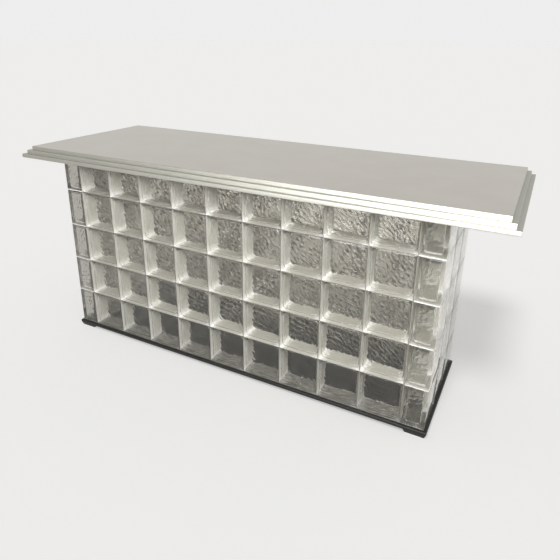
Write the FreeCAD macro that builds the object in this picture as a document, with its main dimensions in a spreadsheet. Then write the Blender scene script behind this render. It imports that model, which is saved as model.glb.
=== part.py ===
import FreeCAD, Part
import os
import Sketcher
from FreeCAD import Placement, Rotation, Vector

# A buffet table: four walls of clear hollow glass blocks stand on a black board with four feet and
# carry a metal-faced top whose edge steps down three times. Millimetres, +Z up. The origin is on
# the floor under the middle of the top, +X runs along the length and the front faces -Y.
document = FreeCAD.newDocument("block_buffet_table")

# Counts of the pieces that repeat
FRONT_COLUMNS = 9
END_COLUMNS = 3
COURSES = 5
STEPS = 3
LONG_ANGLE_SCREWS = 5
SHORT_ANGLE_SCREWS = 2
LONG_EDGE_SCREWS = 9
SHORT_EDGE_SCREWS = 3

SIZES = {
    # Clear glass blocks and the sealant joints between them
    "block_face": 149.4,
    "block_thickness": 80.0,
    "block_edge": 1.5,
    "block_wall": 5.0,
    "block_panel": 13.0,
    "joint": 3.0,
    "joint_recess": 1.0,
    # Base board and feet
    "board_thickness": 12.0,
    "board_ledge": 10.0,
    "board_corner": 4.0,
    "foot_length": 76.0,
    "foot_width": 46.0,
    "foot_height": 14.0,
    "foot_taper": 5.0,
    "foot_inset": 1.5,
    # Overhangs of the top, measured from the outer faces of the blocks
    "back_overhang": 198.0,
    "end_overhang": 184.0,
    # Top: board, metal face, stepped metal edge and the battens behind it
    "core_thickness": 13.0,
    "sheet_thickness": 1.0,
    "step_tread": 14.8,
    "step_rise": 14.7,
    "edge_wall": 2.0,
    "return_setback": 2.4,
    "batten_width": 16.4,
    "batten_gap": 2.0,
    # Angles that tie the top to the walls
    "angle_leg": 30.0,
    "angle_wall": 3.0,
    "angle_screw_margin": 60.0,
    "edge_screw_margin": 80.0,
    "edge_screw_inset": 7.0,
    # Screws, drawn at the thread's core, and the room round them
    "foot_screw_radius": 2.5,
    "foot_screw_spacing": 40.0,
    "foot_counterbore": 6.0,
    "small_screw_radius": 1.75,
    "head_ratio": 2.0,
    "head_height": 2.4,
    "head_crown": 1.4,
    "crown_inset": 1.0,
    "hole_clearance": 0.25,
    "tip_clearance": 1.0,
    "tip_cover": 3.0,
}

LEVELS = {
    "pitch": "block_face + joint",
    "edge_reach": f"{STEPS - 1} * step_tread",
    "edge_return": "batten_width - return_setback",
    "edge_width": "edge_reach + edge_wall + edge_return",
    "front_overhang": "edge_reach + edge_wall + batten_width + batten_gap",
    "base_length": f"{FRONT_COLUMNS} * pitch + joint + 2 * block_thickness",
    "base_depth": f"{END_COLUMNS} * pitch - joint",
    "base_centre": "(front_overhang - back_overhang) / 2",
    "inside_length": "base_length - 2 * block_thickness",
    "inside_depth": "base_depth - 2 * block_thickness",
    "board_length": "base_length + 2 * board_ledge",
    "board_depth": "base_depth + 2 * board_ledge",
    "board_top": "foot_height + board_thickness",
    "first_course": "board_top + joint",
    "core_bottom": f"board_top + {COURSES} * pitch + joint",
    "core_top": "core_bottom + core_thickness",
    "top_level": "core_top + sheet_thickness",
    "top_length": "base_length + 2 * end_overhang",
    "top_depth": "base_depth + front_overhang + back_overhang",
    "edge_bottom": f"top_level - {STEPS} * step_rise",
    "face_length": "top_length - 2 * edge_reach",
    "face_depth": "top_depth - 2 * edge_reach",
    "core_length": "face_length - 2 * edge_wall",
    "core_depth": "face_depth - 2 * edge_wall",
    "batten_bottom": "edge_bottom + edge_wall",
    "batten_height": "core_bottom - batten_bottom",
    "foot_screw_length": "foot_height + board_thickness - foot_counterbore - tip_cover",
    "top_screw_length": "angle_wall + core_thickness - tip_cover",
    "edge_screw_length": "edge_wall + batten_height - tip_cover",
    "foot_hole": "foot_screw_radius + hole_clearance",
    "foot_head": "foot_screw_radius * head_ratio",
    "small_hole": "small_screw_radius + hole_clearance",
    "small_head": "small_screw_radius * head_ratio",
}

# The sides in the order of the quarter turns that carry the +X side of the table to them
SIDES = ("right", "back", "left", "front")
CORNERS = ("back_right", "back_left", "front_left", "front_right")

nodes = []


def make_sheet():
    """Write every driving size and every level worked out from them into one sheet."""
    sheet = document.addObject("Spreadsheet::Sheet", "dim")
    row = 0
    for alias, size in SIZES.items():
        row += 1
        sheet.set(f"A{row}", alias)
        sheet.set(f"B{row}", str(size))
        sheet.setAlias(f"B{row}", alias)
    for alias, formula in LEVELS.items():
        row += 1
        sheet.set(f"A{row}", alias)
        sheet.set(f"B{row}", "=" + formula)
        sheet.setAlias(f"B{row}", alias)
    document.recompute()
    return sheet


dim = make_sheet()


def number(expression):
    """Value of an expression of the sheet's cells."""
    return float(dim.evalExpression(expression))


def bind(piece, sizes):
    """Bind properties of a piece to expressions."""
    for name, expression in sizes.items():
        piece.setExpression(name, expression)


def place(piece, x, y, z):
    """Bind the place of a piece to three expressions."""
    bind(piece, {"Placement.Base.x": x, "Placement.Base.y": y, "Placement.Base.z": z})


def add_node(piece, label):
    """Name a finished sub-part and keep it for export."""
    piece.Label = label
    nodes.append(piece)
    return piece


def box(name, length, width, height, x, y, z):
    """Rectangular block with its low corner at x, y, z."""
    piece = document.addObject("Part::Box", name)
    bind(piece, {"Length": length, "Width": width, "Height": height})
    place(piece, x, y, z)
    return piece


def cylinder(name, radius, height):
    """Upright cylinder standing on the origin."""
    piece = document.addObject("Part::Cylinder", name)
    bind(piece, {"Radius": radius, "Height": height})
    return piece


def cut(name, base, tool):
    piece = document.addObject("Part::Cut", name)
    piece.Base = base
    piece.Tool = tool
    return piece


def group(name, pieces):
    """Separate solids held together as one sub-part."""
    piece = document.addObject("Part::Compound", name)
    piece.Links = pieces
    return piece


def copy_of(source, name, x, y, z, quarter=0):
    """A copy of a piece, turned by quarter turns about Z and placed by expressions."""
    piece = document.addObject("App::Link", name)
    piece.LinkedObject = source
    piece.LinkTransform = True
    piece.Placement = Placement(Vector(), Rotation(Vector(0, 0, 1), 90 * quarter))
    place(piece, x, y, z)
    return piece


def on_side(quarter, outward, along, centre="0"):
    """x and y expressions of a point so far outward and along on one side of the table."""
    x, y = {
        0: (outward, along),
        1: (f"-({along})", outward),
        2: (f"-({outward})", f"-({along})"),
        3: (along, f"-({outward})"),
    }[quarter]
    return x, f"{y} + {centre}"


def add_outline(sketch, corners):
    """Closed outline through corners (x, y) or (x, y, radius), anticlockwise, all expressions.

    Runs beside a rounded corner lie along X or Y.
    """
    spots = [Vector(number(corner[0]), number(corner[1]), 0) for corner in corners]
    segments = []
    for index, corner in enumerate(corners):
        here = spots[index]
        arrive = (here - spots[index - 1]).normalize()
        leave = (spots[(index + 1) % len(spots)] - here).normalize()
        if len(corner) == 2:
            segments.append(("run", corner[0], corner[1], None))
            continue
        x, y, radius = corner
        start_x = f"{x} - ({round(arrive.x)}) * {radius}"
        start_y = f"{y} - ({round(arrive.y)}) * {radius}"
        end_x = f"{x} + ({round(leave.x)}) * {radius}"
        end_y = f"{y} + ({round(leave.y)}) * {radius}"
        segments.append(("arc", start_x, start_y, radius))
        segments.append(("run", end_x, end_y, None))
    ids = []
    for index, (kind, x, y, radius) in enumerate(segments):
        following = segments[(index + 1) % len(segments)]
        start = Vector(number(x), number(y), 0)
        end = Vector(number(following[1]), number(following[2]), 0)
        if kind == "run":
            ids.append(sketch.addGeometry(Part.LineSegment(start, end), False))
        else:
            turn = Vector(start.y - end.y, end.x - start.x, 0).normalize()
            reach = number(radius)
            rise = reach - reach * 0.5 ** 0.5
            middle = (start + end) * 0.5 - turn * rise
            ids.append(sketch.addGeometry(Part.Arc(start, middle, end), False))
    for index, (kind, x, y, radius) in enumerate(segments):
        piece = ids[index]
        sketch.addConstraint(Sketcher.Constraint("Coincident", ids[index - 1], 2, piece, 1))
        for axis, expression in (("DistanceX", x), ("DistanceY", y)):
            place_in = sketch.addConstraint(
                Sketcher.Constraint(axis, -1, 1, piece, 1, number(expression)))
            sketch.setExpression(f"Constraints[{place_in}]", expression)
        if kind == "arc":
            bend = sketch.addConstraint(Sketcher.Constraint("Radius", piece, number(radius)))
            sketch.setExpression(f"Constraints[{bend}]", radius)


def loose_sketch(name, corners, rotation=Rotation()):
    """Sketch outside any body, turned about the origin."""
    sketch = document.addObject("Sketcher::SketchObject", name)
    sketch.Placement = Placement(Vector(), rotation)
    add_outline(sketch, corners)
    return sketch


def extrusion(name, sketch, direction, length, both_ways=False):
    """Solid swept from a sketch along a direction, half each way where both_ways is set."""
    piece = document.addObject("Part::Extrusion", name)
    piece.Base = sketch
    piece.DirMode = "Custom"
    piece.Dir = direction
    piece.Solid = True
    piece.Symmetric = both_ways
    bind(piece, {"LengthFwd": length})
    return piece


def body_sketch(body, name):
    """Sketch on a body's own XY plane."""
    sketch = body.newObject("Sketcher::SketchObject", name)
    plane = [feature for feature in body.Origin.OriginFeatures if feature.Role == "XY_Plane"][0]
    sketch.AttachmentSupport = (plane, [""])
    sketch.MapMode = "FlatFace"
    return sketch


def rectangle(length, depth, radius=None):
    """Corners of a rectangle about the origin, rounded where a radius is given."""
    corners = []
    for x, y in (("-", "-"), ("", "-"), ("", ""), ("-", "")):
        corner = (f"{x}{length} / 2", f"{y}{depth} / 2")
        corners.append(corner if radius is None else corner + (radius,))
    return corners


def screw(name, radius, length, head_radius):
    """Pan-head screw pointing up, the underside of its head on the origin."""
    profile = loose_sketch(f"{name}_profile", [
        ("0", "-dim.head_height"),
        (f"{head_radius} - dim.crown_inset", "-dim.head_height"),
        (head_radius, "dim.head_crown - dim.head_height"),
        (head_radius, "0"),
        (radius, "0"),
        (radius, f"{length} - {radius}"),
        ("0", length),
    ], Rotation(Vector(1, 0, 0), 90))
    piece = document.addObject("Part::Revolution", name)
    piece.Source = profile
    piece.Axis = Vector(0, 0, 1)
    piece.Angle = 360
    piece.Solid = True
    return piece


def spread(count, length, margin, index):
    """Place of one of a row of points spread evenly along a length, in from both ends."""
    return f"({length} - 2 * {margin}) * ({index} / {count - 1} - 0.5)"


# Clear hollow block: two pressed halves fused into one sealed piece with rounded edges. Its outer
# face is the plane x = 0 and it stands on z = 0, so a quarter turn puts it in any of the walls.
clear_block = document.addObject("PartDesign::Body", "clear_block")
block_solid = clear_block.newObject("PartDesign::AdditiveBox", "block_solid")
bind(block_solid, {"Length": "dim.block_thickness", "Width": "dim.block_face",
                   "Height": "dim.block_face"})
place(block_solid, "-dim.block_thickness", "-dim.block_face / 2", "0")
document.recompute()
block_edges = clear_block.newObject("PartDesign::Fillet", "block_edges")
block_edges.Base = (block_solid, [f"Edge{index + 1}" for index in range(len(block_solid.Shape.Edges))])
bind(block_edges, {"Radius": "dim.block_edge"})
block_cavity = clear_block.newObject("PartDesign::SubtractiveBox", "block_cavity")
bind(block_cavity, {"Length": "dim.block_thickness - 2 * dim.block_panel",
                    "Width": "dim.block_face - 2 * dim.block_wall",
                    "Height": "dim.block_face - 2 * dim.block_wall"})
place(block_cavity, "dim.block_panel - dim.block_thickness", "dim.block_wall - dim.block_face / 2",
      "dim.block_wall")

# Sealant strip that stands between two blocks of a course, and its like that lies under a course
bead_width = "(dim.block_thickness - 2 * dim.joint_recess)"
bead_inner = "dim.joint_recess - dim.block_thickness"
upright_bead = box("upright_bead", bead_width, "dim.joint", "dim.block_face",
                   bead_inner, "-dim.joint / 2", "0")


def course_level(course):
    return f"dim.first_course + {course - 1} * dim.pitch"


# Four walls. The end walls run the full depth of the base and the front and back walls stand
# between them, so only these two have an upright joint at both ends as well.
for quarter, side in enumerate(SIDES):
    between = side in ("front", "back")
    half = "dim.base_depth / 2" if between else "dim.base_length / 2"
    columns = FRONT_COLUMNS if between else END_COLUMNS
    joints = range(columns + 1) if between else range(1, columns)
    bed_length = "dim.inside_length" if between else "(dim.base_depth - 2 * dim.joint_recess)"

    uprights = []
    for course in range(1, COURSES + 1):
        blocks = []
        for column in range(columns):
            along = f"{column - (columns - 1) / 2} * dim.pitch"
            x, y = on_side(quarter, half, along, "dim.base_centre")
            blocks.append(copy_of(clear_block, f"{side}_block_{course}_{column + 1}",
                                  x, y, course_level(course), quarter))
        name = f"{side}_course_{course}"
        add_node(group(f"{name}_blocks", blocks), name)
        for joint in joints:
            along = f"{joint - columns / 2} * dim.pitch"
            x, y = on_side(quarter, half, along, "dim.base_centre")
            uprights.append(copy_of(upright_bead, f"{side}_upright_{course}_{joint}",
                                    x, y, course_level(course), quarter))
    add_node(group(f"{side}_uprights", uprights), f"head_joints_{side}")

    bed_bead = box(f"{side}_bed_bead", bead_width, bed_length, "dim.joint",
                   bead_inner, f"-{bed_length} / 2", "0")
    beds = []
    x, y = on_side(quarter, half, "0", "dim.base_centre")
    for level in range(COURSES + 1):
        beds.append(copy_of(bed_bead, f"{side}_bed_{level}",
                            x, y, f"dim.board_top + {level} * dim.pitch", quarter))
    add_node(group(f"{side}_beds", beds), f"bed_joints_{side}")

# Feet: tapered blocks under the board's corners, each with two counterbored screw holes
foot_screw = screw("foot_screw", "dim.foot_screw_radius", "dim.foot_screw_length", "dim.foot_head")
foot_screws = []
foot_pilot = cylinder("foot_pilot", "dim.foot_hole",
                      "dim.foot_counterbore + dim.foot_screw_length + dim.tip_clearance")
foot_pilots = []


def foot_holes(body, name, radius):
    """Two circles on the foot's long axis."""
    sketch = body_sketch(body, name)
    for index, sign in enumerate(("-", "")):
        spot = f"{sign}dim.foot_screw_spacing / 2"
        circle = Part.Circle(Vector(number(spot), 0, 0), Vector(0, 0, 1), number(radius))
        hole = sketch.addGeometry(circle, False)
        across = sketch.addConstraint(Sketcher.Constraint("DistanceX", -1, 1, hole, 3, number(spot)))
        sketch.setExpression(f"Constraints[{across}]", spot)
        sketch.addConstraint(Sketcher.Constraint("PointOnObject", hole, 3, -1))
        size = sketch.addConstraint(Sketcher.Constraint("Radius", hole, number(radius)))
        sketch.setExpression(f"Constraints[{size}]", radius)
    return sketch


def pocket(body, name, sketch, depth):
    """Cut a sketch upwards into a body."""
    piece = body.newObject("PartDesign::Pocket", name)
    piece.Profile = sketch
    piece.Reversed = True
    bind(piece, {"Length": depth})
    return piece


for corner in CORNERS:
    name = f"foot_{corner}"
    body = document.addObject("PartDesign::Body", f"{name}_body")
    footprint = body_sketch(body, f"{name}_footprint")
    add_outline(footprint, rectangle("(dim.foot_length - 2 * dim.foot_taper)",
                                     "(dim.foot_width - 2 * dim.foot_taper)"))
    pad = body.newObject("PartDesign::Pad", f"{name}_pad")
    pad.Profile = footprint
    bind(pad, {"Length": "dim.foot_height", "TaperAngle": "atan(dim.foot_taper / dim.foot_height)"})
    bore = foot_holes(body, f"{name}_bores", "dim.foot_hole")
    pocket(body, f"{name}_bore", bore, "dim.foot_height")
    seat = foot_holes(body, f"{name}_seats", "dim.foot_head + dim.hole_clearance")
    pocket(body, f"{name}_seat", seat, "dim.foot_counterbore")
    x_sign = "" if "right" in corner else "-"
    y_sign = "" if "back" in corner else "-"
    foot_x = f"{x_sign}((dim.board_length - dim.foot_length) / 2 - dim.foot_inset)"
    foot_y = f"{y_sign}((dim.board_depth - dim.foot_width) / 2 - dim.foot_inset) + dim.base_centre"
    place(body, foot_x, foot_y, "0")
    add_node(body, name)
    for side, sign in (("left", "-"), ("right", "+")):
        x = f"{foot_x} {sign} dim.foot_screw_spacing / 2"
        foot_screws.append(copy_of(foot_screw, f"{name}_screw_{side}", x, foot_y,
                                   "dim.foot_counterbore"))
        foot_pilots.append(copy_of(foot_pilot, f"{name}_pilot_{side}", x, foot_y, "0"))
add_node(group("foot_screw_set", foot_screws), "foot_screws")

# Base board with eased corners and pilot holes for the foot screws
board_outline = loose_sketch("board_outline",
                             rectangle("dim.board_length", "dim.board_depth", "dim.board_corner"))
board_blank = extrusion("board_blank", board_outline, Vector(0, 0, 1), "dim.board_thickness")
place(board_blank, "0", "dim.base_centre", "dim.foot_height")
board = cut("board", board_blank, group("board_pilots", foot_pilots))
add_node(board, "base_board")

# Aluminium angles inside the top of the walls, and the screws that hold the top to them
top_screw = screw("top_screw", "dim.small_screw_radius", "dim.top_screw_length", "dim.small_head")
top_pilot = cylinder("top_pilot", "dim.small_hole", "dim.top_screw_length + dim.tip_clearance")
top_screws = []
top_pilots = []
angle_section = [
    ("-dim.angle_wall", "-dim.angle_leg"),
    ("0", "-dim.angle_leg"),
    ("0", "0"),
    ("-dim.angle_leg", "0"),
    ("-dim.angle_leg", "-dim.angle_wall"),
    ("-dim.angle_wall", "-dim.angle_wall"),
]
for quarter, side in enumerate(SIDES):
    turn = Rotation(Vector(0, 0, 1), 90 * quarter)
    long_side = side in ("front", "back")
    half = "dim.inside_depth / 2" if long_side else "dim.inside_length / 2"
    length = "dim.inside_length" if long_side else "(dim.inside_depth - 2 * dim.angle_leg)"
    screws = LONG_ANGLE_SCREWS if long_side else SHORT_ANGLE_SCREWS
    name = f"cap_angle_{side}"
    section = loose_sketch(f"{name}_section", angle_section,
                           turn * Rotation(Vector(1, 0, 0), 90))
    bar = extrusion(f"{name}_bar", section, turn * Vector(0, 1, 0), length, both_ways=True)
    x, y = on_side(quarter, half, "0", "dim.base_centre")
    place(bar, x, y, "dim.core_bottom")
    holes = []
    for index in range(screws):
        along = spread(screws, length, "dim.angle_screw_margin", index)
        x, y = on_side(quarter, f"{half} - dim.angle_leg / 2", along, "dim.base_centre")
        spot = (x, y, "dim.core_bottom - dim.angle_wall")
        top_screws.append(copy_of(top_screw, f"{name}_screw_{index}", *spot))
        hole = copy_of(top_pilot, f"{name}_pilot_{index}", *spot)
        holes.append(hole)
        top_pilots.append(hole)
    add_node(cut(f"{name}_drilled", bar, group(f"{name}_holes", holes)), name)
add_node(group("top_screw_set", top_screws), "top_screws")

# Top board and its metal face sheet
core_blank = box("core_blank", "dim.core_length", "dim.core_depth", "dim.core_thickness",
                 "-dim.core_length / 2", "-dim.core_depth / 2", "dim.core_bottom")
add_node(cut("core", core_blank, group("core_pilots", top_pilots)), "top_core")
face_sheet = box("face_sheet", "dim.face_length", "dim.face_depth", "dim.sheet_thickness",
                 "-dim.face_length / 2", "-dim.face_depth / 2", "dim.core_top")
add_node(face_sheet, "top_sheet")


def edge_section(half):
    """Folded edge: three risers and two treads outside, a return under the batten inside."""
    def at(outward, level):
        return f"{half} + {outward}", level

    wall = "dim.edge_wall"
    first = "dim.top_level - dim.step_rise"
    second = "dim.top_level - 2 * dim.step_rise"
    return [
        at("0", "dim.core_top"),
        at(f"-{wall}", "dim.core_top"),
        at(f"-{wall}", f"{first} - {wall}"),
        at(f"dim.step_tread - {wall}", f"{first} - {wall}"),
        at(f"dim.step_tread - {wall}", f"{second} - {wall}"),
        at(f"dim.edge_reach - {wall}", f"{second} - {wall}"),
        at(f"dim.edge_reach - {wall}", "dim.batten_bottom"),
        at(f"-{wall} - dim.edge_return", "dim.batten_bottom"),
        at(f"-{wall} - dim.edge_return", "dim.edge_bottom"),
        at("dim.edge_reach", "dim.edge_bottom"),
        at("dim.edge_reach", second),
        at("dim.step_tread", second),
        at("dim.step_tread", first),
        at("0", first),
    ]


def mitre_outline(outer, across):
    """Plan of one side of the edge: its ends are cut at 45 degrees."""
    inner = f"{outer} - dim.edge_width"
    return [
        (outer, f"-{across}"),
        (outer, across),
        (inner, f"{across} - dim.edge_width"),
        (inner, f"dim.edge_width - {across}"),
    ]


# Stepped metal edges with mitred ends, the battens behind them and their screws
edge_screw = screw("edge_screw", "dim.small_screw_radius", "dim.edge_screw_length", "dim.small_head")
edge_pilot = cylinder("edge_pilot", "dim.small_hole", "dim.edge_screw_length + dim.tip_clearance")
edge_screws = []
for quarter, side in enumerate(SIDES):
    turn = Rotation(Vector(0, 0, 1), 90 * quarter)
    long_side = side in ("front", "back")
    half = "dim.face_depth / 2" if long_side else "dim.face_length / 2"
    outer = "dim.top_depth / 2" if long_side else "dim.top_length / 2"
    across = "dim.top_length / 2" if long_side else "dim.top_depth / 2"
    screws = LONG_EDGE_SCREWS if long_side else SHORT_EDGE_SCREWS
    name = f"edge_{side}"
    section = loose_sketch(f"{name}_section", edge_section(half),
                           turn * Rotation(Vector(1, 0, 0), 90))
    strip = extrusion(f"{name}_strip", section, turn * Vector(0, 1, 0), f"2 * {across}",
                      both_ways=True)
    plan = loose_sketch(f"{name}_plan", mitre_outline(outer, across), turn)
    wedge = extrusion(f"{name}_wedge", plan, Vector(0, 0, 1), "dim.top_level")
    mitred = document.addObject("Part::Common", f"{name}_mitred")
    mitred.Base = strip
    mitred.Tool = wedge
    batten_length = "dim.core_length" if long_side else "(dim.core_depth - 2 * dim.batten_width)"
    batten = box(f"batten_{side}_blank", "dim.batten_width", batten_length, "dim.batten_height",
                 "0", "0", "dim.batten_bottom")
    batten.Placement = Placement(Vector(), turn)
    x, y = on_side(quarter, f"{half} - dim.edge_wall - dim.batten_width", f"-{batten_length} / 2")
    place(batten, x, y, "dim.batten_bottom")
    holes = []
    for index in range(screws):
        along = spread(screws, batten_length, "dim.edge_screw_margin", index)
        x, y = on_side(quarter, f"{half} - dim.edge_wall - dim.edge_screw_inset", along)
        spot = (x, y, "dim.edge_bottom")
        edge_screws.append(copy_of(edge_screw, f"{name}_screw_{index}", *spot))
        holes.append(copy_of(edge_pilot, f"{name}_pilot_{index}", *spot))
    drill = group(f"{name}_holes", holes)
    add_node(cut(f"{name}_drilled", mitred, drill), f"edge_moulding_{side}")
    add_node(cut(f"batten_{side}_drilled", batten, drill), f"edge_batten_{side}")
add_node(group("edge_screw_set", edge_screws), "edge_screws")

document.recompute()

for piece in document.Objects:
    if "Invalid" in piece.State or "Error" in piece.State:
        raise RuntimeError(f"{piece.Name} did not build: {piece.State}")
for piece in nodes:
    if piece.Shape.isNull() or not piece.Shape.isValid():
        raise RuntimeError(f"{piece.Label} has no valid shape")

os.makedirs("parts", exist_ok=True)
for piece in nodes:
    piece.Shape.exportStep(f"parts/{piece.Label}.step")
    print(f"{piece.Label}: {len(piece.Shape.Solids)} solids, {piece.Shape.Volume / 1000:.1f} cm3")
print(f"{len(nodes)} sub-parts")
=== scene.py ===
# %% [markdown]
# # A buffet table of glass blocks
# The table is a hollow base of clear pressed-glass blocks on a thin black board, with a wide satin metal
# top whose edge steps down three times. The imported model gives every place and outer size, so this script
# only dresses it: rounded and rippled glass, eased metal edges, finishes, light and a camera. All lengths
# are in metres, +Z is up and the front faces -Y.

import bpy
import numpy as np
from mathutils import Matrix, Vector


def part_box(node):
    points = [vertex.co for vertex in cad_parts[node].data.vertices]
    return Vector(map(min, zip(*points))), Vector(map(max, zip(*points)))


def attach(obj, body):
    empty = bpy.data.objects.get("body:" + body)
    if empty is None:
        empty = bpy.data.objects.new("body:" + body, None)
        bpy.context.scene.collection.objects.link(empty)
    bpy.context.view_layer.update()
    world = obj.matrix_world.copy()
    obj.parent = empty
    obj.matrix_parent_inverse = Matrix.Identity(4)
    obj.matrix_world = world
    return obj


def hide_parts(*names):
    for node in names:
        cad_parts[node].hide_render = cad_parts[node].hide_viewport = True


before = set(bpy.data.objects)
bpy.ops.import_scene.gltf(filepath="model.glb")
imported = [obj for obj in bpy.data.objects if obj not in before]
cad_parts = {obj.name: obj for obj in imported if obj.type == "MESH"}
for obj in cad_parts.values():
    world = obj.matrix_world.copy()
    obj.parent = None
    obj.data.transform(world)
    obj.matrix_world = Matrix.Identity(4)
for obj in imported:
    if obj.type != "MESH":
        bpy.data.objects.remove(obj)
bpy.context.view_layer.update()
MM = 0.001
print("nodes in the frame:", len(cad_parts))

# %% [markdown]
# ## A few small tools
# Colours are written as the hex codes a paint card would use. The shader works in linear light, so one
# function converts them. A second one adds a shader node, sets its properties and fills its sockets,
# which keeps each material short enough to read in one go.

# %% Colour and node helpers
def linear(code):
    """Turn '#rrggbb' into linear RGBA: the low end is a straight line, the rest a power of 2.4."""
    shares = np.array([int(code[i:i + 2], 16) for i in (1, 3, 5)]) / 255
    light = np.where(shares <= 0.04045, shares / 12.92, ((shares + 0.055) / 1.055) ** 2.4)
    return (*light.tolist(), 1.0)


def add_node(tree, kind, inputs=None, **settings):
    """Add one node; an input is a plain value or the output socket that feeds it."""
    node = tree.nodes.new("ShaderNode" + kind)
    for name, value in settings.items():
        setattr(node, name, value)
    for name, value in (inputs or {}).items():
        socket = node.inputs[name]
        if isinstance(value, bpy.types.NodeSocket):
            tree.links.new(value, socket)
        else:
            socket.default_value = value
    return node


def new_material(name):
    """An empty node material, its node tree and its output node."""
    material = bpy.data.materials.new(name)
    material.use_nodes = True
    material.node_tree.nodes.clear()
    output = add_node(material.node_tree, "OutputMaterial")
    return material, material.node_tree, output


def corners(node):
    """Lowest and highest corner of a CAD node, as arrays."""
    return [np.array(corner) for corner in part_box(node)]


print("middle grey #808080 is", round(linear("#808080")[0], 3), "in linear light")

# %% [markdown]
# ## Pressed clear glass
# Each block is two halves of soda-lime glass, pressed in a mould while hot and fused at the middle. Round
# its edges the glass is sanded to hold the sealant, and there it looks greyer. The dark strokes along the
# ripple are painted shade: a ripple is thin beside a whole panel, so neither its glass nor an absorbing
# volume would darken it at this size, and the grey tint in its troughs stands in for darker surroundings
# that it would bend into view. Each point carries its own clearness, from -1, grey, over 0, plain, to 1,
# clear, and the shader tints the light that crosses the face by it. A face passes the square root of its
# colour, because light crosses two faces of every panel.
#
# Lamps can't be aimed through bent glass, so two kinds of ray pass straight on: shadow rays, and light
# that bounces between dull surfaces. The joints inside the walls are then lit much as on the real table,
# with little noise.

# %% Glass material
# The grey end is the sanded edge's own grey, and also the painted shade of the ripple's troughs.
GREY_FACE = "#86847c"
PLAIN_FACE = "#dcdad4"
CLEAR_FACE = "#ffffff"
STRAIGHT_PASS = "#f4f4f2"
# Soda-lime glass has an IOR of about 1.52. This lower one mirrors less of the pale studio.
GLASS_IOR = 1.42

# The hot mould leaves it mirror-smooth: it is clear, glints at its edges and bends what is seen through it.
glass, tree, output = new_material("pressed clear glass")
clearness = add_node(tree, "Attribute", attribute_name="clearness")
share = add_node(tree, "MapRange", {"Value": clearness.outputs["Fac"], "From Min": -1.0, "From Max": 1.0})
tint = add_node(tree, "ValToRGB", {"Fac": share.outputs[0]})
tint.color_ramp.elements[0].color = linear(GREY_FACE)
tint.color_ramp.elements[1].color = linear(CLEAR_FACE)
tint.color_ramp.elements.new(0.5).color = linear(PLAIN_FACE)
body = add_node(tree, "BsdfPrincipled", {
    "Base Color": tint.outputs["Color"], "Roughness": 0.0, "IOR": GLASS_IOR, "Transmission Weight": 1.0})
passing = add_node(tree, "BsdfTransparent", {"Color": linear(STRAIGHT_PASS)})
path = add_node(tree, "LightPath")
straight = add_node(tree, "Math", {0: path.outputs["Is Shadow Ray"], 1: path.outputs["Is Diffuse Ray"]},
                    operation="MAXIMUM")
mixed = add_node(tree, "MixShader", {0: straight.outputs[0], 1: body.outputs[0], 2: passing.outputs[0]})
tree.links.new(mixed.outputs[0], output.inputs["Surface"])
passed = [round(linear(code)[1] ** 0.5, 2) for code in (GREY_FACE, PLAIN_FACE, CLEAR_FACE)]
print("green light through a grey, a plain and a clear face:", passed)

# %% [markdown]
# ## Silicone in the joints
# Clear blocks like these are bedded in off-white silicone, pressed in and smoothed off. Through the glass
# it is a pale band round every block, streaky where it was drawn out. Painted light lies over that: a
# painted glint makes it whiter where two joints cross, painted shade makes it greyer on the level beds,
# which the high lamp lights most, the lowest bed is darkened as a painted reflection of the black board,
# and painted shade makes the bead on the two faces of a wall greyer still. Strips could be painted by
# hand with an image. Here the tone is worked out from the place instead, so it fits any number of
# blocks: how far the next crossing is, which way the surface faces, and noise that is drawn out along the
# joint.

# %% Places of the joints
course_low, course_high = corners("front_course_1")
end_low = corners("right_course_1")[0]
pitch = corners("front_course_2")[0][2] - course_low[2]
half_joint = (pitch - course_high[2] + course_low[2]) / 2
bed_middle = course_low[2] - half_joint
PAST_THE_BED = 1.2
lowest_bed_top = bed_middle + PAST_THE_BED * half_joint
print("joint pitch and width in mm:", round(pitch / MM, 2), round(2 * half_joint / MM, 2))

# %% Painted glints where joints cross
# Painted glint: white is laid on the silicone near every crossing, where a bright glint would show through
# the glass.
GLINT_PAINT_START = 82 * MM
GLINT_PAINT_FULL = 50 * MM
GLINT_PAINT_RAGGED = 100 * MM


def painted_glint_share(tree, spot, lumps, along, first_joint):
    """Share of the painted glint: the distance to a crossing, made ragged by noise, between two limits.

    The distance is the root of two squares: how far beside the nearest upright joint, a triangle wave, and
    how far above the bed joint below, a saw wave."""
    beside = add_node(tree, "Math", {0: spot.outputs[along], 1: first_joint}, operation="SUBTRACT")
    beside = add_node(tree, "Math", {0: beside.outputs[0], 1: pitch / 2}, operation="PINGPONG")
    above = add_node(tree, "Math", {0: spot.outputs["Z"], 1: bed_middle}, operation="SUBTRACT")
    above = add_node(tree, "Math", {0: above.outputs[0], 1: pitch, 2: 0.0}, operation="WRAP")
    gap = add_node(tree, "CombineXYZ", {"X": beside.outputs[0], "Z": above.outputs[0]})
    gap = add_node(tree, "VectorMath", {0: gap.outputs[0]}, operation="LENGTH")
    ragged = add_node(tree, "Math", {0: lumps.outputs["Fac"], 1: GLINT_PAINT_RAGGED, 2: gap.outputs["Value"]},
                      operation="MULTIPLY_ADD")
    return add_node(tree, "MapRange", {"Value": ragged.outputs[0], "From Min": GLINT_PAINT_START,
                                       "From Max": GLINT_PAINT_FULL}, interpolation_type="SMOOTHSTEP")


print("a heap reaches about this far in mm:", round((GLINT_PAINT_START - GLINT_PAINT_RAGGED / 2) / MM))

# %% Silicone material
SEALANT_LUMP = 6 * MM
STREAK_WIDTH = 4 * MM
STREAK_DRAWN = 0.12
STREAK_RAMP = (0.3, 0.7)
BED_PAINTED_SHADE = 0.75
BOARD_PAINTED_REFLECTION = 0.9
BOARD_REFLECTION_RAMP = (0.45, 0.65)


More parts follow.
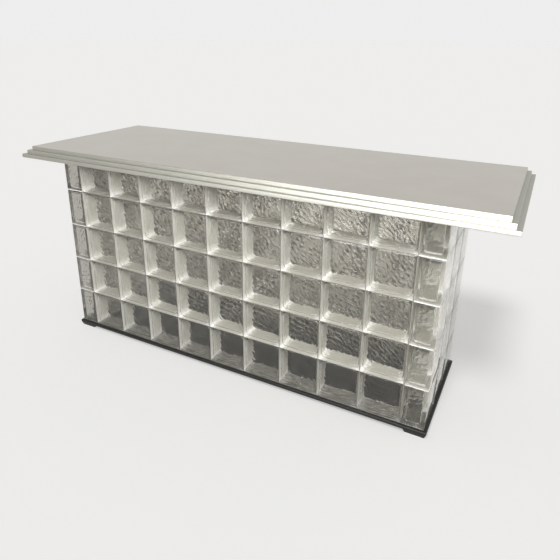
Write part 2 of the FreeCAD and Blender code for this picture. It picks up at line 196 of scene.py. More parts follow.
def silicone(name, along, out, first_joint):
    """Silicone of a wall that runs along one axis and faces out along another, in layers of tone, most of
    them painted light.
    """
    # Cured silicone is dull and milky, so it shows as a soft white without a sharp glint.
    material, tree, output = new_material(name)
    place = add_node(tree, "TexCoord")
    spot = add_node(tree, "SeparateXYZ", {0: place.outputs["Object"]})
    lumps = add_node(tree, "TexNoise", {"Vector": place.outputs["Object"], "Scale": 1 / SEALANT_LUMP,
                                        "Detail": 3.0})
    stretch = [1.0 if axis == out else STREAK_DRAWN for axis in "XYZ"]
    drawn = add_node(tree, "Mapping", {"Vector": place.outputs["Object"], "Scale": stretch})
    streaks = add_node(tree, "TexNoise", {"Vector": drawn.outputs[0], "Scale": 1 / STREAK_WIDTH,
                                          "Detail": 2.0})
    shade = add_node(tree, "ValToRGB", {"Fac": streaks.outputs["Fac"]})
    shade.color_ramp.elements[0].position = STREAK_RAMP[0]
    shade.color_ramp.elements[0].color = linear("#cdcbc5")
    shade.color_ramp.elements[1].position = STREAK_RAMP[1]
    shade.color_ramp.elements[1].color = linear("#f3f2ee")

    turn = add_node(tree, "SeparateXYZ", {0: place.outputs["Normal"]})
    # Painted shade: level faces, which the high lamp lights most, are mixed towards grey.
    level = add_node(tree, "Math", {0: turn.outputs["Z"]}, operation="ABSOLUTE")
    level = add_node(tree, "Math", {0: level.outputs[0], 1: BED_PAINTED_SHADE}, operation="MULTIPLY")
    # Painted glint: white near each crossing.
    painted_glint = painted_glint_share(tree, spot, lumps, along, first_joint)
    # Painted reflection of the black board: the lowest bed is darkened, less so along the streaks.
    painted_board_reflection = add_node(tree, "Math", {0: spot.outputs["Z"], 1: lowest_bed_top}, operation="LESS_THAN")
    shows = add_node(tree, "MapRange", {
        "Value": streaks.outputs["Fac"], "From Min": BOARD_REFLECTION_RAMP[0], "From Max": BOARD_REFLECTION_RAMP[1],
        "To Min": BOARD_PAINTED_REFLECTION, "To Max": BOARD_PAINTED_REFLECTION / 2})
    painted_board_reflection = add_node(tree, "Math", {0: painted_board_reflection.outputs[0], 1: shows.outputs[0]}, operation="MULTIPLY")
    # Painted shade: the bead on a wall's two faces, in its recess and facing the lamps, is mixed towards a
    # darker grey.
    painted_bead_shade = add_node(tree, "Math", {0: turn.outputs[out]}, operation="ABSOLUTE")
    colour = shade.outputs["Color"]
    # Layers in turn: painted shade on level faces, the painted glint, the painted reflection of the board,
    # and painted shade on the bead.
    for amount, code in ((level, "#a3a19a"), (painted_glint, "#ffffff"), (painted_board_reflection, "#3a3935"), (painted_bead_shade, "#76736b")):
        layer = add_node(tree, "Mix", {0: amount.outputs[0], 6: colour, 7: linear(code)}, data_type="RGBA")
        colour = layer.outputs[2]

    relief = add_node(tree, "Bump", {"Height": lumps.outputs["Fac"], "Strength": 0.25, "Distance": 0.5 * MM})
    body = add_node(tree, "BsdfPrincipled", {
        "Base Color": colour, "Roughness": 0.5, "Normal": relief.outputs["Normal"]})
    tree.links.new(body.outputs[0], output.inputs["Surface"])
    return material


long_sealant = silicone("off-white silicone of the long walls", "X", "Y", course_low[0] - half_joint)
end_sealant = silicone("off-white silicone of the end walls", "Y", "X", end_low[1] - half_joint)
print("sealants:", long_sealant.name, "and", end_sealant.name)

# %% [markdown]
# ## Black lacquer
# The board and feet are wood under satin black lacquer. A plain black would look like plastic. A thin
# coat never quite hides the wood, so the colour, the sheen and a little relief all follow one grain,
# noise that is drawn out along the board.

# %% Lacquer material
GRAIN_WIDTH = 2 * MM
GRAIN_DRAWN = (0.06, 1.0, 1.0)

# Sprayed lacquer is deep black with a soft sheen, and the grain breaks the sheen up into faint lines.
lacquer, tree, output = new_material("satin black lacquer on wood")
place = add_node(tree, "TexCoord")
along = add_node(tree, "Mapping", {"Vector": place.outputs["Object"], "Scale": GRAIN_DRAWN})
grain = add_node(tree, "TexNoise", {"Vector": along.outputs[0], "Scale": 1 / GRAIN_WIDTH, "Detail": 4.0})
shade = add_node(tree, "ValToRGB", {"Fac": grain.outputs["Fac"]})
shade.color_ramp.elements[0].color = linear("#0e0e0d")
shade.color_ramp.elements[1].color = linear("#1b1b18")
dull = add_node(tree, "MapRange", {"Value": grain.outputs["Fac"], "To Min": 0.38, "To Max": 0.55})
relief = add_node(tree, "Bump", {"Height": grain.outputs["Fac"], "Strength": 0.12, "Distance": 0.3 * MM})
body = add_node(tree, "BsdfPrincipled", {
    "Base Color": shade.outputs["Color"], "Roughness": dull.outputs[0], "Specular IOR Level": 0.3,
    "Normal": relief.outputs["Normal"]})
tree.links.new(body.outputs[0], output.inputs["Surface"])
print("grain in mm:", round(GRAIN_WIDTH / MM, 1))

# %% [markdown]
# ## Satin aluminium
# The top and its stepped edge are aluminium, rubbed along their length with a fine abrasive. The lines
# that this leaves blur what the metal mirrors, and broad soft clouds show where the rubbing was lighter.
# Anisotropic gloss could stand for the lines. Noise drawn out along one axis is used here, because it
# gives relief and an uneven sheen at once, and it can be baked. The folded edge is duller than the face,
# since it is harder to rub evenly, and it is given a darker grey as painted shade, so that its steps
# mirror less light.

# %% Satin aluminium material
# Real rubbed lines are about 0.2 mm wide. They are drawn as coarse as the render needs to show them.
BRUSH_WIDTH = 1.2 * MM
CLOUD_WIDTH = 120 * MM
ALONG_X = (0.03, 1.0, 1.0)
ALONG_Y = (1.0, 0.03, 1.0)
FACE_TONES = ("#c8c4bb", "#bfbab1")
# Painted shade: the folded edge gets a darker grey than the face of the same aluminium.
SHADED_EDGE_TONES = ("#a8a79f", "#a09f97")
FACE_SHEEN = (0.3, 0.46)
EDGE_SHEEN = (0.4, 0.55)


def satin_aluminium(name, tones, drawn, sheen):
    """Rubbed metal: fine lines drawn out along one axis set the sheen, and broad clouds set the colour."""
    # Rubbing turns mirror glints into broad pale ones, so the metal looks soft, grey and faintly lined.
    material, tree, output = new_material(name)
    place = add_node(tree, "TexCoord")
    along = add_node(tree, "Mapping", {"Vector": place.outputs["Object"], "Scale": drawn})
    lines = add_node(tree, "TexNoise", {"Vector": along.outputs[0], "Scale": 1 / BRUSH_WIDTH, "Detail": 2.0})
    clouds = add_node(tree, "TexNoise", {"Vector": place.outputs["Object"], "Scale": 1 / CLOUD_WIDTH,
                                         "Detail": 3.0})
    shade = add_node(tree, "ValToRGB", {"Fac": clouds.outputs["Fac"]})
    shade.color_ramp.elements[0].color = linear(tones[1])
    shade.color_ramp.elements[1].color = linear(tones[0])
    dull = add_node(tree, "MapRange", {"Value": lines.outputs["Fac"], "To Min": sheen[0], "To Max": sheen[1]})
    relief = add_node(tree, "Bump", {"Height": lines.outputs["Fac"], "Strength": 0.06, "Distance": 0.1 * MM})
    body = add_node(tree, "BsdfPrincipled", {
        "Base Color": shade.outputs["Color"], "Metallic": 1.0, "Roughness": dull.outputs[0],
        "Normal": relief.outputs["Normal"]})
    tree.links.new(body.outputs[0], output.inputs["Surface"])
    return material


face_metal = satin_aluminium("satin brushed aluminium sheet", FACE_TONES, ALONG_X, FACE_SHEEN)
long_metal = satin_aluminium("satin brushed aluminium long edge", SHADED_EDGE_TONES, ALONG_X, EDGE_SHEEN)
short_metal = satin_aluminium("satin brushed aluminium short edge", SHADED_EDGE_TONES, ALONG_Y, EDGE_SHEEN)
print("metals:", face_metal.name, "and two for the edges")

# %% [markdown]
# ## Finishes that hardly show
# Inside the table are a plywood core with battens, plain aluminium angles and plated screws. They are
# seen only from low down or through the glass, so one pattern each is enough: soft rolling streaks, wood
# grain and the small dull patches of a plated coat.

# %% Mill aluminium, plywood and zinc materials
ROLL_STREAK = 9 * MM
VENEER_GRAIN = 6 * MM
VENEER_DRAWN = (0.05, 1.0, 1.0)
PLATED_PATCH = 1.5 * MM

# Metal straight from the mill is pale, with an uneven sheen.
mill, tree, output = new_material("mill finish aluminium")
place = add_node(tree, "TexCoord")
streaks = add_node(tree, "TexNoise", {"Vector": place.outputs["Object"], "Scale": 1 / ROLL_STREAK,
                                      "Detail": 3.0})
dull = add_node(tree, "MapRange", {"Value": streaks.outputs["Fac"], "To Min": 0.35, "To Max": 0.55})
body = add_node(tree, "BsdfPrincipled", {
    "Base Color": linear("#c8c8c4"), "Metallic": 1.0, "Roughness": dull.outputs[0]})
tree.links.new(body.outputs[0], output.inputs["Surface"])

# Peeled birch is dull and honey-coloured, with darker lines along the grain.
plywood, tree, output = new_material("raw birch plywood")
place = add_node(tree, "TexCoord")
along = add_node(tree, "Mapping", {"Vector": place.outputs["Object"], "Scale": VENEER_DRAWN})
grain = add_node(tree, "TexNoise", {"Vector": along.outputs[0], "Scale": 1 / VENEER_GRAIN, "Detail": 5.0})
shade = add_node(tree, "ValToRGB", {"Fac": grain.outputs["Fac"]})
shade.color_ramp.elements[0].color = linear("#b08d60")
shade.color_ramp.elements[1].color = linear("#d9bd8f")
relief = add_node(tree, "Bump", {"Height": grain.outputs["Fac"], "Strength": 0.2, "Distance": 0.3 * MM})
body = add_node(tree, "BsdfPrincipled", {
    "Base Color": shade.outputs["Color"], "Roughness": 0.65, "Normal": relief.outputs["Normal"]})
tree.links.new(body.outputs[0], output.inputs["Surface"])

# A plated coat is a cool bright grey that is slightly patchy.
zinc, tree, output = new_material("zinc plated steel")
place = add_node(tree, "TexCoord")
patches = add_node(tree, "TexNoise", {"Vector": place.outputs["Object"], "Scale": 1 / PLATED_PATCH,
                                      "Detail": 2.0})
dull = add_node(tree, "MapRange", {"Value": patches.outputs["Fac"], "To Min": 0.3, "To Max": 0.5})
body = add_node(tree, "BsdfPrincipled", {
    "Base Color": linear("#c3c3bd"), "Metallic": 1.0, "Roughness": dull.outputs[0]})
tree.links.new(body.outputs[0], output.inputs["Surface"])
print("materials:", len(bpy.data.materials))

# %% [markdown]
# ## A rounded box from planes
# Blocks, boards and sheets are boxes with rounded edges. A cube with a Bevel modifier would give the
# edges, but not the even grid that a ripple needs. Here a box is cut by planes along its three axes, and
# only the crossings on its skin are kept, so every corner is shared and the skin is closed. Each point is
# then pulled to a fixed distance from a smaller core box, which rounds all edges and corners at once. The
# planes near an edge are spaced by equal angles, so a few of them make a smooth curve.

# %% Rounded box helpers
def planes(half, radius, arc_steps, flat_steps, rim=0.0):
    """Places of the cutting planes along one axis: tangents of equal angles at both ends, even steps between.

    A rim puts a plane that far inside each edge, which keeps smooth shading level on the flat between."""
    arc = half - radius + radius * np.tan(np.linspace(np.pi / 4, 0, arc_steps + 1))
    flat = np.linspace(radius + rim - half, half - radius - rim, flat_steps + 1)
    return np.concatenate([-arc, flat if rim else flat[1:-1], arc[::-1]])


def box_skin(xs, ys, zs):
    """Points and outward quads of the six sides of a box cut by planes at xs, ys and zs."""
    shape = (len(xs), len(ys), len(zs))
    grid = np.stack(np.meshgrid(xs, ys, zs, indexing="ij"), axis=-1)
    index = np.indices(shape)
    last = np.array(shape).reshape(3, 1, 1, 1) - 1
    on_skin = ((index == 0) | (index == last)).any(axis=0)
    number = np.full(shape, -1)
    number[on_skin] = np.arange(on_skin.sum())
    sides = []
    for axis in range(3):
        for end in (0, -1):
            side = np.take(number, end, axis=axis)
            ring = np.stack([side[:-1, :-1], side[1:, :-1], side[1:, 1:], side[:-1, 1:]], axis=-1)
            outward = (end == -1) != (axis == 1)
            sides.append((ring if outward else ring[..., ::-1]).reshape(-1, 4))
    return grid[on_skin], np.concatenate(sides)


def rounded(points, half, radius):
    """Move each point to the radius from its nearest point on the core box, half minus radius each way."""
    core = np.clip(points, radius - half, half - radius)
    out = points - core
    return core + radius * out / np.linalg.norm(out, axis=-1, keepdims=True)


print("planes of a 100 mm edge in mm:", np.round(planes(50.0, 5.0, 2, 2), 1))

# %% [markdown]
# ## From arrays to a piece
# Every new piece goes the same way: its points and quads are written into a mesh as whole arrays, which
# is much faster than adding them one by one. The piece then rides on the table's body, stands for the CAD
# nodes it covers and takes its material.

# %% Piece helper
def put_piece(name, points, quads, material, nodes):
    """Make a smooth mesh object from arrays; it rides on the table and stands for its CAD nodes."""
    mesh = bpy.data.meshes.new(name)
    mesh.vertices.add(len(points))
    mesh.vertices.foreach_set("co", np.ascontiguousarray(points, np.float32).ravel())
    mesh.loops.add(quads.size)
    mesh.loops.foreach_set("vertex_index", np.ascontiguousarray(quads, np.int32).ravel())
    mesh.polygons.add(len(quads))
    mesh.polygons.foreach_set("loop_start", np.arange(0, quads.size, quads.shape[1], dtype=np.int32))
    mesh.polygons.foreach_set("use_smooth", np.ones(len(quads), bool))
    mesh.update(calc_edges=True)
    mesh.materials.append(material)
    piece = bpy.data.objects.new(name, mesh)
    bpy.context.scene.collection.objects.link(piece)
    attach(piece, "root")
    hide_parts(*nodes)
    return piece


# %% [markdown]
# ## The pressed ripple
# The panels are pressed with a slanting ripple that blurs what is behind them. A Displace modifier with
# noise would do, but noise has no slant. Here the ripple is a sum of sine waves: their lengths lie around
# the size of one dimple, and most of them run down one diagonal, which gives the short slanting strokes
# of the pattern.

# %% Ripple
WAVES = 14
DIMPLE = 14 * MM
RIPPLE_DEPTH = 0.7 * MM
RIPPLE_TURN = np.radians(60)
TURN_SPREAD = 0.5
LENGTH_SPREAD = (0.85, 1.5)
RIPPLE_SEED = 11
rng = np.random.default_rng(RIPPLE_SEED)
wave_length = DIMPLE * rng.uniform(*LENGTH_SPREAD, WAVES)
wave_turn = RIPPLE_TURN + rng.normal(0, TURN_SPREAD, WAVES)
wave_start = rng.uniform(0, 2 * np.pi, WAVES)


def ripple(across, up):
    """Sum of sine waves over a panel: each has its own length, direction and start."""
    run = across[..., None] * np.cos(wave_turn) + up[..., None] * np.sin(wave_turn)
    return np.sin(2 * np.pi * run / wave_length + wave_start).sum(-1) / np.sqrt(WAVES / 2)


print("wave lengths in mm:", np.round(np.sort(wave_length) / MM, 1))

# %% [markdown]
# ## The glass blocks
# A block is a shell: a plain rounded box outside, and inside it a hollow with round edges and corners,
# which a hot mould needs. A boolean cut could hollow a box out, but it leaves faces too uneven to ripple,
# so the skin and the hollow both come from the rounded box, with the hollow's faces turned round. A slim
# ridge runs round the middle, where the halves were fused. The outside is a hair larger than the CAD
# block, so that it meets the sealant with no film of air, and its edges are grey, because there the glass
# is sanded to hold the sealant.

# %% Outside and hollow of one block
PANEL = 13 * MM
SIDE_WALL = 5 * MM
OUTER_EDGE = 0.8 * MM
HOLLOW_EDGE = 6 * MM
HOLLOW_CORNER = 18 * MM
SEAM_RIDGE = 1.0 * MM
SEAM_WIDTH = 2.5 * MM
BOND = 0.1 * MM
EDGE_CLEARNESS = -0.84
PANEL_CELLS = 40
DEPTH_CELLS = 9
HOLLOW_ARC = 3
SKIN_ARC = 2
SKIN_CELLS = (3, 2)


def round_corners(points, half, radius):
    """Bend a square outline across x and z into one with round corners: square rings there become arcs."""
    flat = points[:, [0, 2]]
    core = np.clip(flat, radius - half, half - radius)
    out = flat - core
    length = np.linalg.norm(out, axis=1)
    reach = np.abs(out).max(axis=1)
    share = np.divide(reach, length, out=np.ones_like(length), where=length > 0)
    points[:, [0, 2]] = core + out * share[:, None]
    return points


def block_skin(face, thickness):
    """Points, quads and clearness of a rounded box: plain on its two faces and grey round its edges."""
    half = np.array([face, thickness, face]) / 2 + BOND
    across = planes(half[0], OUTER_EDGE, SKIN_ARC, SKIN_CELLS[0])
    through = planes(half[1], OUTER_EDGE, SKIN_ARC, SKIN_CELLS[1])
    points, quads = box_skin(across, through, across)
    points = rounded(points, half, OUTER_EDGE)
    on_face = np.abs(points[:, 1]) > half[1] - OUTER_EDGE / 4
    return points, quads, np.where(on_face, 0.0, EDGE_CLEARNESS)


def block_hollow(half):
    """A rounded box with round corners, pinched round its middle by a bell curve of the depth."""
    across = planes(half[0], HOLLOW_EDGE, HOLLOW_ARC, PANEL_CELLS)
    through = planes(half[1], HOLLOW_EDGE, HOLLOW_ARC, DEPTH_CELLS)
    points, quads = box_skin(across, through, across)
    points = round_corners(rounded(points, half, HOLLOW_EDGE), half[0], HOLLOW_CORNER)
    ridge = SEAM_RIDGE * np.exp(-(points[:, 1] / SEAM_WIDTH) ** 2)
    points[:, [0, 2]] *= 1 - (ridge / half[0])[:, None]
    return points, quads[:, ::-1]


block_size = course_high - course_low
print("points of one skin:", len(block_skin(block_size[2], block_size[1])[0]))

# %% [markdown]
# ## A course of blocks
# All blocks of a course are one piece, as in the CAD model. The panel that faces into the table carries
# the full ripple, and the outer one only a trace of it, which leaves the front smooth and shiny. The side
# walls wave a little, and more so in the end walls, whose edges are seen from the front. The ripple is
# read at each block's own place, so no two blocks are alike. Its crests are clearer than its troughs, a
# painted shade that draws dark strokes on the glass.

# %% One course
OUTER_SHARE = 0.24
SIDE_DEPTH = 0.45 * MM
END_SIDE_DEPTH = 1.2 * MM
PANEL_SHIFT = (0.9, -0.7)
SIDE_SHIFT = (0.5, 0.3)
FADE_POWER = 3
# Strength and lift of the painted shade that the ripple draws as dark strokes.
PAINTED_STROKE_CONTRAST = 0.94
PAINTED_STROKE_LIFT = 0.44


def block_course(centres, face, thickness, turned, inward):
    """One skin and one rippled hollow, repeated at each centre.

    Axes are along the wall, through it and up; a turned wall has them rotated a quarter about the upright. A
    point of a panel moves through the wall by depth times ripple, and a point of a side wall across it; both
    fade to nothing over the rounded edge."""
    count = len(centres)
    skin, skin_quads, skin_tone = block_skin(face, thickness)
    half = np.array([face / 2 - SIDE_WALL, thickness / 2 - PANEL, face / 2 - SIDE_WALL])
    hollow, hollow_quads = block_hollow(half)
    fade = np.clip((np.abs(hollow) - half + HOLLOW_EDGE) / HOLLOW_EDGE, 0, 1) ** FADE_POWER
    inside = hollow[:, 1] * inward > 0
    spot = hollow + centres[:, None]
    across = spot[..., 0] + spot[..., 1] + PANEL_SHIFT[0] * inside
    wave = ripple(across, spot[..., 2] + PANEL_SHIFT[1] * inside)
    side_depth = END_SIDE_DEPTH if turned else SIDE_DEPTH
    hollows = np.repeat(hollow[None], count, axis=0)
    hollows[..., 0] += side_depth * fade[:, 0] * ripple(spot[..., 1] + SIDE_SHIFT[0], spot[..., 2])
    hollows[..., 1] += RIPPLE_DEPTH * fade[:, 1] * np.where(inside, 1, OUTER_SHARE) * wave
    hollows[..., 2] += side_depth * fade[:, 2] * ripple(spot[..., 1] + SIDE_SHIFT[1], spot[..., 0])

    # Painted shade: on the inward panel the ripple's troughs tint the glass grey and its crests clear, which
    # draws dark strokes.
    painted_stroke_share = fade[:, 1] * inside
    hollow_tone = painted_stroke_share * (PAINTED_STROKE_CONTRAST * wave + PAINTED_STROKE_LIFT) + (1 - painted_stroke_share)
    tone = np.concatenate([np.repeat(skin_tone[None], count, axis=0), hollow_tone], axis=1)
    shells = np.concatenate([np.repeat(skin[None], count, axis=0), hollows], axis=1)
    if turned:
        shells = np.stack([-shells[..., 1], shells[..., 0], shells[..., 2]], axis=-1)
    shells += centres[:, None]
    quads = np.concatenate([skin_quads, hollow_quads + len(skin)])
    quads = quads[None] + (np.arange(count) * shells.shape[1])[:, None, None]
    return shells.reshape(-1, 3), quads.reshape(-1, 4), tone.ravel()


print("depth of the panel's ripple in mm:", round(RIPPLE_DEPTH / MM, 2))

# %% All four walls
COURSES = 5
COLUMNS = {"front": 9, "back": 9, "left": 3, "right": 3}
faces = 0
for side, columns in COLUMNS.items():
    turned = side in ("left", "right")
    axis = 1 if turned else 0
    inward = 1 if side in ("front", "right") else -1
    for course in range(1, COURSES + 1):
        node = f"{side}_course_{course}"
        low, high = corners(node)
        face = high[2] - low[2]
        thickness = (high - low)[1 - axis]
        centres = np.repeat([(low + high) / 2], columns, axis=0)
        centres[:, axis] = np.linspace(low[axis] + face / 2, high[axis] - face / 2, columns)
        points, quads, tone = block_course(centres, face, thickness, turned, inward)
        piece = put_piece(f"glass_{node}", points, quads, glass, [node])
        attribute = piece.data.attributes.new("clearness", "FLOAT", "POINT")
        attribute.data.foreach_set("value", tone.astype(np.float32))
        faces += len(quads)
print("glass quads:", faces)

# %% [markdown]
# ## The stepped metal edge
# The edge is one folded sheet that steps down three times and returns under the top, where screws hold
# it. A sharp CAD corner shows no glint, while folded metal always has a small radius, so the section is
# redrawn with eased corners and carried along each side. The three folds in plain view get a larger
# radius, which is what catches the light. A Bevel modifier would round every edge alike, the mitres too.
# A point that stands further out is also carried further along, which cuts the mitres.

# %% Section of the stepped edge
FOLD_RADIUS = 2.2 * MM
CUT_RADIUS = 0.8 * MM
FOLD_STEPS = 4
EDGE_WALL = 2 * MM
EDGE_RETURN = 14 * MM
# Corners of the section, counted from 0: foot and head of the lowest riser, and head of the next one up.
SEEN_FOLDS = [9, 10, 12]

sheet_low, sheet_high = corners("top_sheet")
edge_low, edge_high = corners("edge_moulding_right")
tread = (edge_high[0] - sheet_high[0]) / 2
rise = (sheet_high[2] - edge_low[2]) / 3
core_top = sheet_low[2]
first = sheet_high[2] - rise
second = first - rise
bottom = edge_low[2]


def eased(outline, radius, steps):
    """Swap each corner of a closed outline for a curve of its own radius, a blend of its edges and itself."""
    before = np.roll(outline, 1, axis=0) - outline
    after = np.roll(outline, -1, axis=0) - outline
    start = outline + radius[:, None] * before / np.linalg.norm(before, axis=1, keepdims=True)
    end = outline + radius[:, None] * after / np.linalg.norm(after, axis=1, keepdims=True)
    done = np.linspace(0, 1, steps + 1)[None, :, None]
    left = 1 - done
    curve = left ** 2 * start[:, None] + 2 * done * left * outline[:, None] + done ** 2 * end[:, None]
    return curve.reshape(-1, 2)


wall = EDGE_WALL
section = np.array([
    (0, core_top), (-wall, core_top), (-wall, first - wall), (tread - wall, first - wall),
    (tread - wall, second - wall), (2 * tread - wall, second - wall), (2 * tread - wall, bottom + wall),
    (-wall - EDGE_RETURN, bottom + wall), (-wall - EDGE_RETURN, bottom), (2 * tread, bottom),
    (2 * tread, second), (tread, second), (tread, first), (0, first)])
fold = np.full(len(section), CUT_RADIUS)
fold[SEEN_FOLDS] = FOLD_RADIUS
section = eased(section, fold, FOLD_STEPS)
print("tread and rise in mm:", round(tread / MM, 2), round(rise / MM, 2))

# %% Carry the section along the four sides
EDGE_STATIONS = 11
MITRE_RIM = 0.0005


def mitred_edge(out_half, along_half, quarter):
    """Section carried along one side: x is out from the face, and y runs as far as the point stands out.

    Each end is closed by quads between the section's inner and outer run, which pair up corner by corner. A
    station close to each end keeps smooth shading straight along the faces, right up to the mitre."""
    out = out_half + section[:, 0]
    share = np.linspace(MITRE_RIM - 1, 1 - MITRE_RIM, EDGE_STATIONS - 2)
    share = np.concatenate([[-1], share, [1]])[:, None]
    reach = (along_half + section[:, 0])[None]
    points = np.stack(np.broadcast_arrays(out[None], share * reach, section[None, :, 1]), axis=-1)
    count = len(section)
    row = np.arange(count)
    ring = np.stack([row, np.roll(row, -1)], axis=-1)
    strip = np.concatenate([ring[:, ::-1], ring + count], axis=1)
    quads = (strip[None] + (np.arange(EDGE_STATIONS - 1) * count)[:, None, None]).reshape(-1, 4)
    inner = np.arange(FOLD_STEPS + 1, count // 2 + FOLD_STEPS)
    mate = 2 * FOLD_STEPS + 1 - inner
    cap = np.stack([inner, inner + 1, (mate - 1) % count, mate % count], axis=-1)
    far_cap = cap[:, ::-1] + (EDGE_STATIONS - 1) * count
    quads = np.concatenate([quads, cap, far_cap])
    turn = np.array(Matrix.Rotation(quarter * np.pi / 2, 3, "Z"))
    return points.reshape(-1, 3) @ turn.T, quads


half_length, half_depth = sheet_high[:2]
for quarter, side in enumerate(("right", "back", "left", "front")):
    long_side = quarter % 2 == 1
    out_half, along_half = (half_depth, half_length) if long_side else (half_length, half_depth)
    points, quads = mitred_edge(out_half, along_half, quarter)
    metal = long_metal if long_side else short_metal
    put_piece(f"stepped_edge_{side}", points, quads, metal, [f"edge_moulding_{side}"])
print("edge section points:", len(section))

# %% [markdown]
# ## Top sheet and board
# The face of the top is a thin sheet, bonded to the plywood, whose sheared rim is rubbed just round
# enough to touch. The walls stand on a black board, a finger's width larger than they are, with softer
# edges. Both are rounded boxes from the helper above, cut into a few cells, with a narrow rim that keeps
# the smooth shading level.

# %% Top sheet and base board
SHEET_EDGE = 0.45 * MM
SHEET_ARC = 2
SHEET_CELLS = (12, 6, 1)
BOARD_EDGE = 2.5 * MM
BOARD_ARC = 3
BOARD_CELLS = (12, 6, 2)
LEVEL_RIM = np.array([2, 2, 0]) * MM


def slab(node, radius, arc_steps, cells):
    """A rounded box in the place of a CAD node, with a number of cells along each axis."""
    low, high = corners(node)
    half = (high - low) / 2
    cuts = [planes(half[i], radius, arc_steps, cells[i], LEVEL_RIM[i]) for i in range(3)]
    points, quads = box_skin(*cuts)
    return rounded(points, half, radius) + (low + high) / 2, quads


points, quads = slab("top_sheet", SHEET_EDGE, SHEET_ARC, SHEET_CELLS)
top_sheet = put_piece("satin_top_sheet", points, quads, face_metal, ["top_sheet"])
points, quads = slab("base_board", BOARD_EDGE, BOARD_ARC, BOARD_CELLS)
board = put_piece("black_base_board", points, quads, lacquer, ["base_board"])
print("quads of the sheet and the board:", len(top_sheet.data.polygons), len(board.data.polygons))

# %% [markdown]
# ## Pieces that keep their CAD shape
# The tapered feet, the strips of sealant, the core, battens, angles and screws already have the right
# shape, so they stay as they are and only get a finish. A finish is looked up by the start of a piece's
# name, and the first match counts, so a longer name comes before a shorter one.

# %% Finishes of the CAD nodes
FINISHES = {
    "head_joints_front": long_sealant, "head_joints_back": long_sealant, "head_joints": end_sealant,
    "bed_joints_front": long_sealant, "bed_joints_back": long_sealant, "bed_joints": end_sealant,
    "foot_screws": zinc, "foot_": lacquer, "cap_angle": mill, "top_screws": zinc, "top_core": plywood,
    "edge_batten": plywood, "edge_screws": zinc}
for name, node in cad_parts.items():
    kind = next((start for start in FINISHES if name.startswith(start)), None)
    if kind is not None:
        node.data.materials.clear()
        node.data.materials.append(FINISHES[kind])
print("dressed CAD nodes:", sum(not node.hide_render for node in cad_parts.values()))

# %% [markdown]
# ## Floor and surround
# The table stands on a pale floor that runs to the horizon, in front of a pale backdrop. More lamps could
# make both bright, but would bleach the table. Instead the floor and the world are lifted to a pale tone
# for the camera, for gloss and for rays through glass, and give the table only a soft even light. The
# floor still takes the shadow.

# %% Floor
FLOOR_HALF = 150.0
FLOOR_LIFT = 0.4


def seen_rays(tree):
    """1 for rays from the camera, from gloss and through glass, and 0 for light between dull surfaces."""
    path = add_node(tree, "LightPath")
    seen = add_node(tree, "Math", {0: path.outputs["Is Camera Ray"], 1: path.outputs["Is Glossy Ray"]},
                    operation="MAXIMUM")
    return add_node(tree, "Math", {0: seen.outputs[0], 1: path.outputs["Is Transmission Ray"]},
                    operation="MAXIMUM")


# Matt paint: an even pale grey with no glint, so that only the shadow shows on it.
floor_material, tree, output = new_material("pale studio floor")
body = add_node(tree, "BsdfDiffuse", {"Color": linear("#d5d4d1")})
level = add_node(tree, "Math", {0: seen_rays(tree).outputs[0], 1: FLOOR_LIFT}, operation="MULTIPLY")
lift = add_node(tree, "Emission", {"Strength": level.outputs[0]})
both = add_node(tree, "AddShader", {0: body.outputs[0], 1: lift.outputs[0]})
tree.links.new(both.outputs[0], output.inputs["Surface"])
mesh = bpy.data.meshes.new("floor")
square = FLOOR_HALF * np.array([(-1, -1, 0), (1, -1, 0), (1, 1, 0), (-1, 1, 0)])
mesh.from_pydata(square.tolist(), [], [(0, 1, 2, 3)])
mesh.materials.append(floor_material)
floor = bpy.data.objects.new("floor", mesh)
bpy.context.scene.collection.objects.link(floor)
print("floor in m:", 2 * FLOOR_HALF)

# %% Surround
SURROUND = 0.33
BACKDROP = 0.85
world = bpy.data.worlds.new("pale surround")
bpy.context.scene.world = world
world.use_nodes = True
tree = world.node_tree
tree.nodes.clear()
level = add_node(tree, "MapRange", {"Value": seen_rays(tree).outputs[0], "To Min": SURROUND,
                                    "To Max": BACKDROP})
surround = add_node(tree, "Background", {"Color": (1, 1, 1, 1), "Strength": level.outputs[0]})
add_node(tree, "OutputWorld", {"Surface": surround.outputs[0]})
print("surround and backdrop:", SURROUND, BACKDROP)

# %% [markdown]
# ## Lamps
# In the photograph a lamp beside the camera lights the joints inside the walls, and the right half of the
# stepped edge glints. One lamp can't do both and stay soft, so there are four. A high soft lamp in front
# throws the shadow behind the table. A soft box beside the camera lights the front. A wide box in front
# is seen only as a glint in metal and glass, and one behind lifts the back without a glint. As in a
# studio, cards keep them off some pieces: the two front boxes off the top's face, which they would
# bleach, and the two small ones off the floor.

# %% Lamps
def add_lamp(kind, name, spot, target, energy, **settings):
    """A lamp at a spot, turned to its target."""
    lamp = bpy.data.lights.new(name, kind)
    lamp.energy = energy
    for key, value in settings.items():
        setattr(lamp, key, value)
    holder = bpy.data.objects.new(name, lamp)
    bpy.context.scene.collection.objects.link(holder)
    holder.location = spot
    holder.rotation_euler = (Vector(target) - Vector(spot)).to_track_quat("-Z", "Y").to_euler()
    return holder


def keep_out(lamp, *pieces):
    """Put a card between a lamp and some pieces: a collection that the lamp leaves out."""
    flagged = bpy.data.collections.new(f"out of the {lamp.name}")
    for piece in pieces:
        flagged.objects.link(piece)
    for entry in flagged.collection_objects:
        entry.light_linking.link_state = "EXCLUDE"
    lamp.light_linking.receiver_collection = flagged


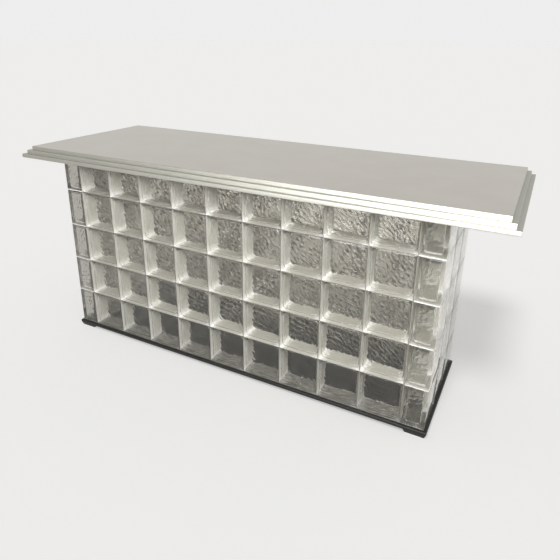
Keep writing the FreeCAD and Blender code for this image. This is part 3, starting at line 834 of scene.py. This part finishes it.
add_lamp("SUN", "high soft lamp", (0.0, -5.74, 8.19), (0, 0, 0), 1.35, angle=np.radians(14))
flash = add_lamp("AREA", "soft box beside the camera", (1.05, -1.65, 1.65), (0.0, -0.2, 0.4), 58.0,
                 shape="SQUARE", size=0.9)
glint = add_lamp("AREA", "wide front box", (0.85, -3.0, 0.9), (0.85, 0, 0.9), 125.0,
                 shape="RECTANGLE", size=3.2, size_y=1.7)
fill = add_lamp("AREA", "back fill", (-1.5, 2.6, 1.3), (0.0, 0.1, 0.4), 34.0, shape="SQUARE", size=1.4)
glint.visible_diffuse = False
fill.visible_glossy = False
fill.visible_transmission = False
keep_out(flash, floor, top_sheet)
keep_out(glint, top_sheet)
keep_out(fill, floor)
print("lamps:", len(bpy.data.lights))

# %% [markdown]
# ## Camera
# The camera stands at the right of the front, above the top. Its place, turn and lens were fitted to the
# joint crossings, the ends of the walls and the corners of the three steps in the photograph, with the
# size of a block known. The small shift stands for the way the photograph was cropped.

# %% Camera
CAMERA_SPOT = (0.97159, -1.76957, 1.23892)
AZIMUTH, ELEVATION, ROLL = np.radians((27.27, 20.05, 0.72))
camera_data = bpy.data.cameras.new("camera")
camera_data.sensor_fit = "HORIZONTAL"
camera_data.sensor_width = 36
camera_data.lens = 33.728
camera_data.shift_x = 0.004886
camera_data.shift_y = -0.090944
camera = bpy.data.objects.new("camera", camera_data)
bpy.context.scene.collection.objects.link(camera)
camera.matrix_world = (Matrix.Translation(CAMERA_SPOT) @ Matrix.Rotation(AZIMUTH, 4, "Z")
                       @ Matrix.Rotation(np.pi / 2 - ELEVATION, 4, "X") @ Matrix.Rotation(ROLL, 4, "Z"))
bpy.context.scene.camera = camera
print("camera height in m:", round(CAMERA_SPOT[2], 2))

# %% [markdown]
# ## Settings that glass needs, and the end
# A look through the base crosses eight glass faces or more, and light that is cut off on the way would
# leave black panes, so rays may bounce often.

# %% Bounces
scene = bpy.context.scene
scene.view_settings.view_transform = "Standard"
scene.cycles.max_bounces = 32
scene.cycles.transmission_bounces = 32
scene.cycles.glossy_bounces = 12
scene.cycles.transparent_max_bounces = 64
print("bounces:", scene.cycles.max_bounces)

# %% The end
print("done")
